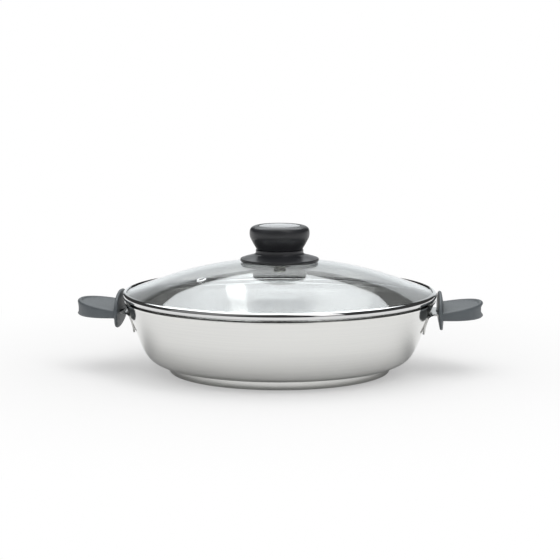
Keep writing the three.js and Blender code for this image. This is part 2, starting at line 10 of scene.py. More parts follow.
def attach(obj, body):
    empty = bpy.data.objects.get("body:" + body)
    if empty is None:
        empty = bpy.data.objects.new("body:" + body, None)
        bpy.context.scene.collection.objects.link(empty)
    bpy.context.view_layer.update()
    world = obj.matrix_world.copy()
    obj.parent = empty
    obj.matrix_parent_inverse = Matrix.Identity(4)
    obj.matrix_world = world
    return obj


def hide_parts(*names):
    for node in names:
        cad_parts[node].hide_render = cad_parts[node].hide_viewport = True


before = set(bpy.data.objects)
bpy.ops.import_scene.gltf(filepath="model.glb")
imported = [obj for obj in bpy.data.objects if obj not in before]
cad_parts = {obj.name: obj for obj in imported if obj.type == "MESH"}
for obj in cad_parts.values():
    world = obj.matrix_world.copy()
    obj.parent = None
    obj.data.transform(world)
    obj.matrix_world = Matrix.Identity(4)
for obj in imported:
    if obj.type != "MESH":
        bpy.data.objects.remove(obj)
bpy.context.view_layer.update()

MM = 0.001

# Clearances, in millimetres
FIT = 0.3                   # between neighbours
SEAT = 0.2                  # under stacked flat pieces
CUT_PAST = 4.0              # how far a cutting shape runs past the glass
CUT_DEEP = 20.0             # and past a handle
RECESS_PAST = 1.0           # and past a screw head

# Bowl and sandwich base, in millimetres
RIM_RADIUS = 139.2          # outside of the wall just under its lip
RIM_HEIGHT = 66.0           # table to the top of the lip
SHEET = 1.0
LIP_TURN = 1.7              # how far the lip turns outwards
LIP_HEIGHT = 2.0
LIP_GUIDES = ((0.3, 0.75), (0.8, 0.95))     # outwards and up from the wall's top
WALL_TOP = RIM_HEIGHT - LIP_HEIGHT
KNUCKLE_REACH = 23.0        # how far the level floor is drawn into the wall curve
WALL_PULL = 44.0            # how far down the lean at the rim is drawn into it
WALL_LEAN = 0.40            # outward lean of the wall at the rim, run over rise
FLOOR_RADIUS = 100.0
FLOOR_RINGS = (0, 25, 50, 75, 92)
BASE_RADIUS = 99.8
BASE_HEIGHT = 8.8           # table to the underside of the drawn floor
BASE_SHEET = 0.8
BASE_CORNER = 0.8
CORNER_GUIDE = 0.3          # a little tighter than a round corner
BASE_MIDDLE = 4.5           # height at which the side has half its lean
BASE_DRAFT = 0.3            # how far the side leans in towards its top

# Lid, in millimetres
LID_SEAT = 0.3              # lid band above the lip
BAND_OVERHANG = 1.1         # band beyond the lip
BAND_RADIUS = RIM_RADIUS + LIP_TURN + BAND_OVERHANG
BAND_FOOT = RIM_HEIGHT + LID_SEAT
BAND_SHEET = 0.9
BAND_FLANGE = 0.3           # how far the band reaches in over the glass
BAND_LIFT = 0.1             # edge of that flange above its seat
BEAD = 3.26                 # radius of the half-round bead
BEAD_TOP = 75               # degrees above level where the bead starts
BEAD_TURN = 165             # degrees that it runs round to its foot
SKIRT_DEPTH = 3.6
SKIRT_FIT = 0.6
SKIRT_TUCK = 0.9            # bend between bead and skirt
TUCK_GUIDE = 0.4
GLASS = 4.0
GLASS_EDGE = BAND_RADIUS - BEAD
EDGE_TOP = BAND_FOOT + 2 * BEAD - BAND_SHEET - FIT
EDGE_SLOPE = 0.305          # fall of the glass at its edge, rise over run
DOME_RISE = 28.5
APEX = EDGE_TOP + DOME_RISE
DOME_RADIUS = 332.0
BRIM_WIDTH = 24.6           # flatter stretch outside the dome
BREAK_RADIUS = GLASS_EDGE - BRIM_WIDTH
HUB_HOLE = 4.0
VENT_RADIUS = 86.6          # from the lid axis
VENT_ANGLE = 220.3          # degrees round from the right-hand handle
VENT_BORE = 2.2
VENT_TUBE = 3.0
VENT_FLANGE = 4.9
VENT_SHEET = 0.6

# Knob stack, in millimetres
GASKET_RADIUS = 14.0
GASKET_THICK = 1.0
GASKET_MARGIN = 4.0         # flat underside of the flange beyond the gasket
RING_EDGE = 0.25            # rounding of gasket and seal
GASKET_FOOT = APEX + SEAT
GASKET_TOP = GASKET_FOOT + GASKET_THICK
KNOB_FOOT = GASKET_TOP + SEAT
KNOB_FLANGE_RADIUS = 35.5
KNOB_NECK_RADIUS = 21.1
KNOB_HEAD_RADIUS = 27.1
KNOB_BASE_HEIGHT = 10.9     # edge of the flange to the seam under the head
KNOB_BODY_HEIGHT = 21.4     # seam to the crown
FLANGE_DROP = 2.4           # edge of the flange below the foot of the knob
FLANGE_FOOT = KNOB_FOOT - FLANGE_DROP
FLANGE_RIM = 3.0
SEAM = FLANGE_FOOT + KNOB_BASE_HEIGHT
CROWN = SEAM + FIT + KNOB_BODY_HEIGHT
CAP_RADIUS = 18.8
CAP_THICK = 1.4
CAP_DOME = 0.8
CAP_SINK = 0.35             # foot of its dome below the crown
CAP_BRINK = 0.3             # inner edge of the seat below the crown
KNOB_SCREW = 2.4
SHANK_HOLE = KNOB_SCREW + 2 * FIT
SCREW_HEAD = 5.6
SCREW_HEAD_HEIGHT = 4.4
WASHER_RADIUS = 10.6
WASHER_THICK = 1.6
SEAL_RADIUS = 9.6
SEAL_THICK = 2.0
INSERT_RADIUS = 4.6
INSERT_FOOT = SEAM + FIT + SEAT
INSERT_LENGTH = 11.5
POCKET_SPARE = 1.0          # room above the insert
SCREW_SHORT = 1.5           # tip of the screw below the insert's top

# Handles, in millimetres
TONGUE_DROP = 12.0          # lip top down to the middle of the bracket tongue
TONGUE = RIM_HEIGHT - TONGUE_DROP
BRACKET_SHEET = 1.5
BRACKET_WIDTH = 52.0        # across the wing
BRACKET_BRINK = 0.4         # rounding of the cut edges
BRINK_ANGLE = 60            # edges sharper than these degrees are cut edges
TONGUE_WIDTH = 44.0
BRACKET_BEND = 3.2          # inside radius
WING_DROP = 17.6            # tongue down to the foot of the wing
WING_FLARE = 1.6            # foot of the wing away from the wall
FLARE_RISE = 13.0           # height over which it comes back to the wall
WING_HUG = 0.8              # how closely the wing follows the round of the wall
WING_CORNER = 5.0
WELD_RADIUS = 2.6
WELD_DEPTH = 0.1125
WELD_SPREAD = 15.0          # each side of the middle
WELD_RISE = 8.0             # above the foot of the wing
SHIELD_GAP = 1.0            # lid band to the shield
SHIELD_THICK = 4.2
SHIELD_IN = BAND_RADIUS + SHIELD_GAP
SHIELD_OUT = SHIELD_IN + SHIELD_THICK
SHIELD_WIDTH = 78.0
SHIELD_HEIGHT = 33.6
SHIELD_LIFT = 1.2           # middle of the shield above the tongue
SHIELD_EDGE = 2.6
SHIELD_BEND_TOP = 0.8       # how far its upper edge bends outwards
SHIELD_BEND_FOOT = 2.0      # and its lower edge
OVAL_POWER = 0.9            # 1 is an ellipse, less is fuller
GRIP_REACH = 36.6           # shield to the tip
GRIP_WIDTH = 74.0
GRIP_NOSE = 0.86            # 1 is an elliptical plan, less is blunter at the tip
GRIP_SHOULDER = 0.92        # the same for the sides
GRIP_ROOT_TOP = 4.2         # above the tongue
GRIP_TIP_TOP = 10.4
GRIP_ROOT_UNDER = 3.2       # below the tongue
GRIP_TIP_UNDER = 4.0
GRIP_DISH = 1.5             # dished top below its lip, at the tip
GRIP_GRIT = 0.40            # cell size of the fused skin
GRIP_ROUNDS = 2             # how often that skin is eased
GRIP_SHARP = 60             # edges flatter than these degrees are shaded smooth
GROOVE = 4.6                # notch in the middle of the tip
NOTCH_HALF = 15.0           # half the length of the notch round the tip
NOTCH_LIFT = 0.4            # bottom of the notch above the middle of the edge
TONGUE_REACH = 22.0         # tongue inside the grip
TONGUE_STOPS = (-1.5, 8.0)  # points along it, from the pan side of the shield
TONGUE_END = SHIELD_OUT + TONGUE_REACH
SCREW_AT = SHIELD_OUT + TONGUE_REACH / 2
HANDLE_SCREW = 2.0
HANDLE_SCREW_HEAD = 3.9
SCREW_FOOT = TONGUE - 3.3   # underside of the head
SCREW_SEAT = TONGUE - 2.1   # top of the head
SCREW_TIP = TONGUE + 3.8    # end of the thread

# Steps round the turned pieces
ROUND = 180
KNOB_ROUND = 128
WASHER_ROUND = 96
SMALL_ROUND = 64

# Steps along the lines
WALL_ROWS = 48
LIP_ROWS = 8
CORNER_ROWS = 6
DOME_ROWS = 36
BRIM_ROWS = 16
BEAD_ROWS = 28
TUCK_ROWS = 5
EASED_ROWS = 4
WING_ROWS = 18
BEND_ROWS = 8
ACROSS_ROWS = 52
NOSE_ROWS = 60
ROOT_ROWS = 6
OVAL_ROWS = 72


# Modelling helpers

MERGE = 0.001 * MM          # points closer than this are one point


def turned(line, steps=ROUND, loop=False):
    """A line of (radius, height) points in millimetres turned once round Z."""
    shape = bmesh.new()
    points = [shape.verts.new((radius * MM, 0, height * MM)) for radius, height in line]
    pairs = list(zip(points, points[1:]))
    if loop:
        pairs.append((points[-1], points[0]))
    edges = [shape.edges.new(pair) for pair in pairs]
    bmesh.ops.spin(shape, geom=points + edges, cent=(0, 0, 0), axis=(0, 0, 1), dvec=(0, 0, 0),
                   angle=math.tau, steps=steps, use_merge=True)
    bmesh.ops.remove_doubles(shape, verts=shape.verts, dist=MERGE)
    bmesh.ops.recalc_face_normals(shape, faces=shape.faces)
    return shape


def soften(shape, corners, offset, segments=3):
    """Rounds the ring edges that pass through the given (radius, height) corners."""
    rings = []
    for edge in shape.edges:
        for radius, height in corners:
            away = [abs(v.co.xy.length - radius * MM) + abs(v.co.z - height * MM) for v in edge.verts]
            if max(away) < 2 * MERGE:
                rings.append(edge)
    bmesh.ops.bevel(shape, geom=rings, offset=offset * MM, offset_type="OFFSET", segments=segments,
                    profile=0.5, affect="EDGES", material=-1, clamp_overlap=True)
    return shape


def bend(start, pull, push, end, steps):
    """Points of a smooth bend between two ends, pulled towards two guide points."""
    ends = [Vector(p) for p in (start, pull, push, end)]
    return [tuple(p) for p in interpolate_bezier(*ends, steps)]


def eased(points):
    """A smooth line through the points; each stretch is a bend guided by the points on either side."""
    spaced = [points[0], *points, points[-1]]
    line = []
    for before, start, end, after in zip(spaced, spaced[1:], spaced[2:], spaced[3:]):
        a, b, c, d = (Vector(p) for p in (before, start, end, after))
        line += bend(b, b + (c - a) / 6, c - (d - b) / 6, c, EASED_ROWS + 1)[:-1]
    return line + [points[-1]]


def bridged(loops):
    """A closed skin over loops of points in millimetres, capped at both ends."""
    shape = bmesh.new()
    rings = []
    for loop in loops:
        points = [shape.verts.new(Vector(p) * MM) for p in loop]
        rings.append([shape.edges.new(pair) for pair in zip(points, points[1:] + points[:1])])
    for low, high in zip(rings, rings[1:]):
        bmesh.ops.bridge_loops(shape, edges=low + high)
    for ring in (rings[0], rings[-1]):
        bmesh.ops.contextual_create(shape, geom=ring)
    bmesh.ops.recalc_face_normals(shape, faces=shape.faces)
    return shape


def block(low, high):
    """A box between two corners in millimetres."""
    shape = bmesh.new()
    middle = (Vector(low) + Vector(high)) / 2 * MM
    sides = (Vector(high) - Vector(low)) * MM
    size = Matrix.Translation(middle) @ Matrix.Diagonal((*sides, 1))
    bmesh.ops.create_cube(shape, size=1, matrix=size)
    return shape


def held(shape):
    """A passing object round a shape."""
    mesh = bpy.data.meshes.new("passing")
    shape.to_mesh(mesh)
    shape.free()
    made = bpy.data.objects.new("passing", mesh)
    bpy.context.scene.collection.objects.link(made)
    return made


def settled(objects):
    """The first object's shape with its modifiers applied; the passing objects go away."""
    graph = bpy.context.evaluated_depsgraph_get()
    shape = bmesh.new()
    shape.from_mesh(objects[0].evaluated_get(graph).to_mesh())
    for made in objects:
        mesh = made.data
        bpy.data.objects.remove(made)
        bpy.data.meshes.remove(mesh)
    return shape


def less(shape, *tools):
    """The shape with the tools' shapes taken out of it."""
    objects = [held(shape)] + [held(tool) for tool in tools]
    for tool in objects[1:]:
        cut = objects[0].modifiers.new("cut", "BOOLEAN")
        cut.operation = "DIFFERENCE"
        cut.solver = "EXACT"
        cut.object = tool
    return settled(objects)


def fused(shapes, grit, rounds):
    """Closed skins made one moulded body by a fine remesh, then eased where they meet."""
    whole = bmesh.new()
    for shape in shapes:
        part = held(shape)
        whole.from_mesh(part.data)
        bpy.data.objects.remove(part)
    body = held(whole)
    remesh = body.modifiers.new("fuse", "REMESH")
    remesh.mode = "VOXEL"
    remesh.voxel_size = grit * MM
    shape = settled([body])
    for _ in range(rounds):
        bmesh.ops.smooth_vert(shape, verts=shape.verts, factor=0.5,
                              use_axis_x=True, use_axis_y=True, use_axis_z=True)
    return shape


def moved(shape, matrix):
    """The shape after a turn and a shift."""
    bmesh.ops.transform(shape, matrix=matrix, verts=shape.verts)
    return shape


def piece(name, shape, material, body, node, sharp=35):
    """A finished piece that rides on a body and stands for one CAD node."""
    mesh = bpy.data.meshes.new(name)
    shape.to_mesh(mesh)
    shape.free()
    mesh.materials.append(material)
    mesh.shade_smooth()
    mesh.set_sharp_from_angle(angle=math.radians(sharp))
    made = bpy.data.objects.new(name, mesh)
    bpy.context.scene.collection.objects.link(made)
    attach(made, body)
    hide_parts(node)
    return made


# Material helpers

INSIDE_DULLER = 0.12        # roughness that the inside of the bowl has over the outside
NOISE_LOW = 0.3             # most of a noise pattern lies between these two
NOISE_HIGH = 0.7

# Pattern sizes in millimetres
SATIN_SPACING = 0.9
RING_FADE = 120.0
BUFFING_WAVE = 9.0
FURNACE_WAVE = 45.0
RESIN_CLOUD = 14.0


def to_linear(code):
    """Linear colour of an sRGB hex code."""
    parts = [int(code[i:i + 2], 16) / 255 for i in (1, 3, 5)]
    return [p / 12.92 if p <= 0.04045 else ((p + 0.055) / 1.055) ** 2.4 for p in parts] + [1.0]


def add(tree, kind, inputs=None, **settings):
    """One node with its settings. An input is named, or numbered where several share a name, and is given
    a value or another node's output."""
    made = tree.nodes.new(kind)
    for key, value in settings.items():
        setattr(made, key, value)
    for key, value in (inputs or {}).items():
        if isinstance(value, bpy.types.NodeSocket):
            tree.links.new(value, made.inputs[key])
        else:
            made.inputs[key].default_value = value
    return made


def finish(name, colour, roughness, metallic, **sockets):
    """A material with one surface shader; gives its tree, its shader and the piece's own coordinates."""
    made = bpy.data.materials.new(name)
    made.use_nodes = True
    tree = made.node_tree
    tree.nodes.clear()
    plain = {"Base Color": to_linear(colour), "Roughness": roughness, "Metallic": metallic}
    given = {key.replace("_", " "): value for key, value in sockets.items()}
    surface = add(tree, "ShaderNodeBsdfPrincipled", {**plain, **given})
    add(tree, "ShaderNodeOutputMaterial", {"Surface": surface.outputs[0]})
    place = add(tree, "ShaderNodeTexCoord").outputs["Object"]
    return made, tree, surface, place


def link(tree, output, surface, socket):
    """Leads an output into a socket of the surface shader."""
    tree.links.new(output, surface.inputs[socket])


def turned_lines(tree, place, spacing):
    """Noise drawn out round the axis: rings a given number of millimetres apart, that fade in and out."""
    parts = add(tree, "ShaderNodeSeparateXYZ", {0: place}).outputs
    flat = add(tree, "ShaderNodeCombineXYZ", {"X": parts["X"], "Y": parts["Y"]})
    radius = add(tree, "ShaderNodeVectorMath", {0: flat.outputs[0]}, operation="LENGTH")
    run = add(tree, "ShaderNodeMath", {0: radius.outputs["Value"], 1: parts["Z"]}, operation="ADD")
    along = add(tree, "ShaderNodeCombineXYZ", {"X": parts["X"], "Y": parts["Y"], "Z": run.outputs[0]})
    fade = 1 / (RING_FADE * MM)
    drawn = add(tree, "ShaderNodeVectorMath", {0: along.outputs[0], 1: (fade, fade, 1 / (spacing * MM))},
                operation="MULTIPLY")
    return add(tree, "ShaderNodeTexNoise", {"Vector": drawn.outputs[0], "Scale": 1.0, "Detail": 3.0,
                                            "Roughness": 0.6}).outputs["Fac"]


def satin_steel(name, colour, deep, roughness, spread):
    """Stainless steel 18/10, satin-turned on a lathe: fine rings smear every reflection up and down the
    wall and leave it sharp sideways. The real lines are under 0.1 mm apart, so they are drawn coarser.
    The inside of the bowl, marked in its mesh, is a little duller."""
    made, tree, surface, place = finish(name, colour, roughness, 1.0, Anisotropic=0.85,
                                        Anisotropic_Rotation=0.25)
    lines = turned_lines(tree, place, SATIN_SPACING)
    rough = add(tree, "ShaderNodeMapRange", {"Value": lines, "From Min": NOISE_LOW,
                                             "From Max": NOISE_HIGH, "To Min": roughness - spread,
                                             "To Max": roughness + spread})
    inside = add(tree, "ShaderNodeAttribute", attribute_name="inside").outputs["Fac"]
    duller = add(tree, "ShaderNodeMath", {0: inside, 1: INSIDE_DULLER, 2: rough.outputs[0]},
                 operation="MULTIPLY_ADD")
    link(tree, duller.outputs[0], surface, "Roughness")
    tone = add(tree, "ShaderNodeMapRange", {"Value": lines, "From Min": 0.25, "From Max": 0.75,
                                            "To Min": 0.0, "To Max": 1.0})
    shade = add(tree, "ShaderNodeMix", {0: tone.outputs[0], 6: to_linear(deep), 7: to_linear(colour)},
                data_type="RGBA")
    link(tree, shade.outputs[2], surface, "Base Color")
    bump = add(tree, "ShaderNodeBump", {"Height": lines, "Strength": 0.12, "Distance": 0.01 * MM})
    link(tree, bump.outputs[0], surface, "Normal")
    return made


def buffed_metal(name, colour, roughness):
    """Stainless steel, and the aluminium and brass inside, pressed or turned and then buffed: a mirror,
    clearer the finer the buffing, with the faint waves that the buffing leaves."""
    made, tree, surface, place = finish(name, colour, roughness, 1.0)
    waves = add(tree, "ShaderNodeTexNoise", {"Vector": place, "Scale": 1 / (BUFFING_WAVE * MM),
                                             "Detail": 2.0})
    rough = add(tree, "ShaderNodeMapRange", {"Value": waves.outputs["Fac"], "From Min": NOISE_LOW,
                                             "From Max": NOISE_HIGH, "To Min": roughness * 0.7,
                                             "To Max": roughness * 1.4})
    link(tree, rough.outputs[0], surface, "Roughness")
    bump = add(tree, "ShaderNodeBump", {"Height": waves.outputs["Fac"], "Strength": 0.2,
                                        "Distance": 0.02 * MM})
    link(tree, bump.outputs[0], surface, "Normal")
    return made


def lid_glass_finish():
    """Soda-lime glass, press-bent and tempered: clear, with the faintest green, and with the very shallow
    waves that the furnace leaves in its reflections."""
    made, tree, surface, place = finish("tempered_glass_clear", "#f8fafa", 0.0, 0.0, IOR=1.5,
                                        Transmission_Weight=1.0)
    waves = add(tree, "ShaderNodeTexNoise", {"Vector": place, "Scale": 1 / (FURNACE_WAVE * MM),
                                             "Detail": 1.0})
    bump = add(tree, "ShaderNodeBump", {"Height": waves.outputs["Fac"], "Strength": 0.3,
                                        "Distance": 0.03 * MM})
    link(tree, bump.outputs[0], surface, "Normal")
    return made


def moulded(name, colour, deep, roughness, grit, relief):
    """Phenolic resin or silicone, compression moulded: an opaque satin skin that takes the tool's fine
    spark grain. The grain is about 0.1 mm on the real piece and is drawn coarser to show."""
    made, tree, surface, place = finish(name, colour, roughness, 0.0, Specular_IOR_Level=0.5)
    grain = add(tree, "ShaderNodeTexNoise", {"Vector": place, "Scale": 1 / (grit * MM), "Detail": 2.0})
    cloud = add(tree, "ShaderNodeTexNoise", {"Vector": place, "Scale": 1 / (RESIN_CLOUD * MM),
                                             "Detail": 3.0})
    tone = add(tree, "ShaderNodeMapRange", {"Value": cloud.outputs["Fac"], "From Min": NOISE_LOW,
                                            "From Max": NOISE_HIGH})
    shade = add(tree, "ShaderNodeMix", {0: tone.outputs[0], 6: to_linear(deep), 7: to_linear(colour)},
                data_type="RGBA")
    link(tree, shade.outputs[2], surface, "Base Color")
    rough = add(tree, "ShaderNodeMapRange", {"Value": grain.outputs["Fac"], "From Min": NOISE_LOW,
                                             "From Max": NOISE_HIGH, "To Min": roughness - 0.06,
                                             "To Max": roughness + 0.06})
    link(tree, rough.outputs[0], surface, "Roughness")
    bump = add(tree, "ShaderNodeBump", {"Height": grain.outputs["Fac"], "Strength": 0.5,
                                        "Distance": relief * MM})
    link(tree, bump.outputs[0], surface, "Normal")
    return made


SATIN = satin_steel("stainless_steel_satin_turned", "#ebebe8", "#e3e3e1", 0.11, 0.02)
BRIGHT = buffed_metal("stainless_steel_buffed", "#dcdcdc", 0.07)
PRESSED = buffed_metal("stainless_steel_pressed", "#bebebc", 0.18)
FASTENER = buffed_metal("stainless_steel_tumbled", "#c4c4c0", 0.24)
CAP_STEEL = buffed_metal("stainless_steel_cap_buffed", "#dededf", 0.16)
CLEAR = lid_glass_finish()
BLACK = moulded("phenolic_resin_black_moulded", "#2c2d30", "#27282b", 0.34, 0.6, 0.02)
GREY = moulded("phenolic_resin_grey_moulded", "#575d61", "#50565a", 0.48, 0.8, 0.05)
SILICONE = moulded("silicone_grey_moulded", "#8f9294", "#86898b", 0.75, 0.8, 0.02)
ALUMINIUM = buffed_metal("aluminium_rolled", "#c3c5c7", 0.45)
BRASS = buffed_metal("brass_turned", "#c2a04d", 0.32)


# Bowl and base

WALL = bend((FLOOR_RADIUS, BASE_HEIGHT), (FLOOR_RADIUS + KNUCKLE_REACH, BASE_HEIGHT),
            (RIM_RADIUS - WALL_LEAN * WALL_PULL, WALL_TOP - WALL_PULL), (RIM_RADIUS, WALL_TOP),
            WALL_ROWS)


def wall_radius(height):
    """Outside radius of the bowl wall at a height."""
    for low, high in zip(WALL, WALL[1:]):
        if high[1] >= height:
            share = (height - low[1]) / (high[1] - low[1])
            return low[0] + share * (high[0] - low[0])
    return WALL[-1][0]


def even_sheet(line, thick):
    """A sheet of even thickness: its outer line turned round Z and thickened inwards."""
    shape = turned(line)
    bmesh.ops.solidify(shape, geom=shape.faces, thickness=thick * MM)
    return shape


def pan_shell():
    """Drawn bowl with a turned lip; its inner face is marked, because the finish is duller there."""
    floor = [(radius, BASE_HEIGHT) for radius in FLOOR_RINGS]
    guides = [(RIM_RADIUS + out, WALL_TOP + up) for out, up in LIP_GUIDES]
    edge = (RIM_RADIUS + LIP_TURN, RIM_HEIGHT - SHEET)
    lip = bend((RIM_RADIUS, WALL_TOP), *guides, edge, LIP_ROWS)
    shape = even_sheet(floor + WALL + lip[1:], SHEET)
    inside = shape.verts.layers.float.new("inside")
    for vert in shape.verts:
        reach = vert.co.xy.length / MM
        height = vert.co.z / MM
        on_floor = reach < FLOOR_RADIUS and height > BASE_HEIGHT + SHEET / 2
        on_wall = BASE_HEIGHT < height < WALL_TOP and reach < wall_radius(height) - SHEET / 2
        vert[inside] = 1.0 if on_floor or on_wall else 0.0
    return shape


def base_cap():
    """Cap pressed round the base: flat underneath, a tight corner and a side that leans in."""
    flat = [(radius, 0) for radius in FLOOR_RINGS]
    corner = bend((BASE_RADIUS - BASE_CORNER, 0), (BASE_RADIUS - CORNER_GUIDE, 0),
                  (BASE_RADIUS, CORNER_GUIDE), (BASE_RADIUS, BASE_CORNER), CORNER_ROWS)
    side = [(BASE_RADIUS - BASE_DRAFT / 2, BASE_MIDDLE),
            (BASE_RADIUS - BASE_DRAFT, BASE_HEIGHT - SEAT)]
    return even_sheet(flat + corner + side, BASE_SHEET)


# Lid

def dome_height(radius, sphere):
    """Height of the dome at a radius: of its top, or of its underside for a smaller sphere."""
    return APEX - DOME_RADIUS + math.sqrt(sphere ** 2 - radius ** 2)


def glass_top():
    """Top of the glass from the hub hole over the dome and the flatter brim to its edge."""
    dome = []
    for i in range(DOME_ROWS):
        radius = HUB_HOLE + (BREAK_RADIUS - HUB_HOLE) * i / DOME_ROWS
        dome.append((radius, dome_height(radius, DOME_RADIUS)))
    start = Vector((BREAK_RADIUS, dome_height(BREAK_RADIUS, DOME_RADIUS)))
    slope = -BREAK_RADIUS / math.sqrt(DOME_RADIUS ** 2 - BREAK_RADIUS ** 2)
    run = (GLASS_EDGE - BREAK_RADIUS) / 2
    knee = start + Vector((run, slope * run))
    end = Vector((GLASS_EDGE, EDGE_TOP))
    return dome + bend(start, start.lerp(knee, 2 / 3), end.lerp(knee, 2 / 3), end, BRIM_ROWS)


def to_vent():
    """Place of the vent: square to the glass, front left of the knob."""
    turn = math.radians(VENT_ANGLE)
    lean = math.asin(VENT_RADIUS / DOME_RADIUS)
    spot = Vector((VENT_RADIUS * math.cos(turn), VENT_RADIUS * math.sin(turn),
                   dome_height(VENT_RADIUS, DOME_RADIUS)))
    return Matrix.Translation(spot * MM) @ Matrix.Rotation(turn, 4, "Z") @ Matrix.Rotation(lean, 4, "Y")


def lid_glass():
    """Glass of even thickness with a hole for the vent."""
    shape = even_sheet(glass_top(), GLASS)
    radius = VENT_TUBE + FIT
    low = -GLASS - CUT_PAST
    hole = turned([(0, low), (radius, low), (radius, CUT_PAST), (0, CUT_PAST)], SMALL_ROUND)
    return less(shape, moved(hole, to_vent()))


def lid_band():
    """Half-round bead over the edge of the glass, with a flange on top and a skirt below."""
    seat = EDGE_TOP + BAND_FLANGE * EDGE_SLOPE + FIT
    flange = (GLASS_EDGE - BAND_FLANGE, seat + BAND_SHEET + BAND_LIFT)
    bead = []
    for i in range(BEAD_ROWS + 1):
        turn = math.radians(BEAD_TOP - BEAD_TURN * i / BEAD_ROWS)
        bead.append((GLASS_EDGE + BEAD * math.cos(turn), BAND_FOOT + BEAD + BEAD * math.sin(turn)))
    skirt = wall_radius(BAND_FOOT - SKIRT_DEPTH) - SHEET - SKIRT_FIT
    tuck = bend((skirt + SKIRT_TUCK, BAND_FOOT), (skirt + TUCK_GUIDE, BAND_FOOT),
                (skirt, BAND_FOOT - TUCK_GUIDE), (skirt, BAND_FOOT - SKIRT_TUCK), TUCK_ROWS)
    line = [flange] + bead + tuck + [(skirt, BAND_FOOT - SKIRT_DEPTH)]
    return even_sheet(line, BAND_SHEET)


def vent_eyelet():
    """Rolled eyelet round the steam hole, turned upright and then set square to the glass."""
    top = FIT
    foot = -GLASS - FIT
    roll = eased([(VENT_FLANGE, top), (VENT_FLANGE - 0.2, top + VENT_SHEET * 0.8),
                  (VENT_TUBE + 0.4, top + VENT_SHEET * 1.5), (VENT_BORE + 0.3, top + VENT_SHEET),
                  (VENT_BORE, top)])
    under = [(VENT_BORE, foot - VENT_SHEET), (VENT_FLANGE - 0.5, foot - VENT_SHEET),
             (VENT_FLANGE - 0.3, foot)]
    line = under + [(VENT_TUBE, foot), (VENT_TUBE, top)] + roll
    return moved(turned(line, SMALL_ROUND, loop=True), to_vent())


# Knob

def ring(inner, outer, low, high):
    """Flat moulded ring with rounded outer edges."""
    line = [(inner, low), (outer, low), (outer, high), (inner, high)]
    return soften(turned(line, SMALL_ROUND, loop=True), line[1:3], RING_EDGE)


def knob_base():
    """Flange that spreads over the gasket, with a rolled rim, and a collar up to the seam."""
    # Rim from its foot up, as (inwards, share of the rim's height)
    roll = [(1.0, 0), (0.2, 0.16), (0, 0.4), (0, 0.7), (0.4, 0.92), (1.2, 1.0), (3.0, 1.23)]
    rim = eased([(KNOB_FLANGE_RADIUS - inwards, FLANGE_FOOT + FLANGE_RIM * up) for inwards, up in roll])
    # Collar from its foot up, as (outside the neck, below the seam)
    sweep = [(3.2, 5.05), (1.9, 4.5), (0.8, 3.6), (0.45, 2.4), (0.4, 0.7), (0.1, 0.15), (-0.4, 0)]
    collar = eased([(KNOB_NECK_RADIUS + out, SEAM - down) for out, down in sweep])
    inside = [(SHANK_HOLE, KNOB_FOOT), (GASKET_RADIUS + GASKET_MARGIN, KNOB_FOOT)]
    return turned(inside + rim + collar + [(SHANK_HOLE, SEAM)], KNOB_ROUND, loop=True)


def knob_body():
    """Head with a swelling side, a pocket for the insert below and a seat for the cap on top."""
    foot = SEAM + FIT
    swell = KNOB_HEAD_RADIUS - KNOB_NECK_RADIUS
    # Side from the seam up, as (share of the swell, share of the height)
    shares = [(-0.07, 0.0), (0, 0.012), (0.05, 0.04), (0.16, 0.10), (0.42, 0.22), (0.68, 0.36),
              (0.90, 0.49), (0.99, 0.60), (1, 0.70), (0.93, 0.82), (0.72, 0.91), (0.34, 0.97),
              (-0.05, 0.995), (-0.20, 1.0)]
    side = eased([(KNOB_NECK_RADIUS + swell * out, foot + KNOB_BODY_HEIGHT * up) for out, up in shares])
    pocket = INSERT_RADIUS + FIT
    roof = INSERT_FOOT + INSERT_LENGTH + POCKET_SPARE
    rim = CAP_RADIUS + FIT
    seat = CROWN - CAP_THICK - SEAT
    inside = [(0, roof), (pocket, roof), (pocket, foot)]
    return turned(inside + side + [(rim, CROWN - CAP_BRINK), (rim, seat), (0, seat)], KNOB_ROUND)


def knob_cap():
    """Slightly domed disc let into the crown."""
    foot = CROWN - CAP_THICK
    # Top from its edge inwards, as (share of the radius, share of the dome)
    lift = [(1, -0.6), (0.985, -0.2), (0.95, 0.04), (0.8, 0.4), (0.5, 0.77), (0.2, 0.97), (0, 1)]
    top = eased([(CAP_RADIUS * out, CROWN - CAP_SINK + CAP_DOME * up) for out, up in lift])
    return turned([(0, foot), (CAP_RADIUS, foot)] + top, KNOB_ROUND)


UNDER_GLASS = dome_height(SEAL_RADIUS, DOME_RADIUS - GLASS)
SEAL_TOP = UNDER_GLASS - SEAT
WASHER_TOP = SEAL_TOP - SEAL_THICK - SEAT
HEAD_TOP = WASHER_TOP - WASHER_THICK - SEAT


def cross_recess(reach, wide, low, high):
    """The two arms of a cross-head driver, to be cut from a screw head."""
    return [block((-x, -y, low), (x, y, high)) for x, y in ((reach, wide), (wide, reach))]


def knob_washer():
    """Dished washer with a rolled edge against the seal."""
    low = WASHER_TOP - WASHER_THICK
    dish = eased([(SCREW_HEAD + 0.6, low), (SCREW_HEAD + 1.6, low + 0.08),
                  (WASHER_RADIUS - 1.6, WASHER_TOP - 0.72), (WASHER_RADIUS - 0.3, WASHER_TOP - 0.5),
                  (WASHER_RADIUS, WASHER_TOP - 0.2), (WASHER_RADIUS - 0.15, WASHER_TOP)])
    return turned([(SHANK_HOLE, low)] + dish + [(SHANK_HOLE, WASHER_TOP)], WASHER_ROUND, loop=True)


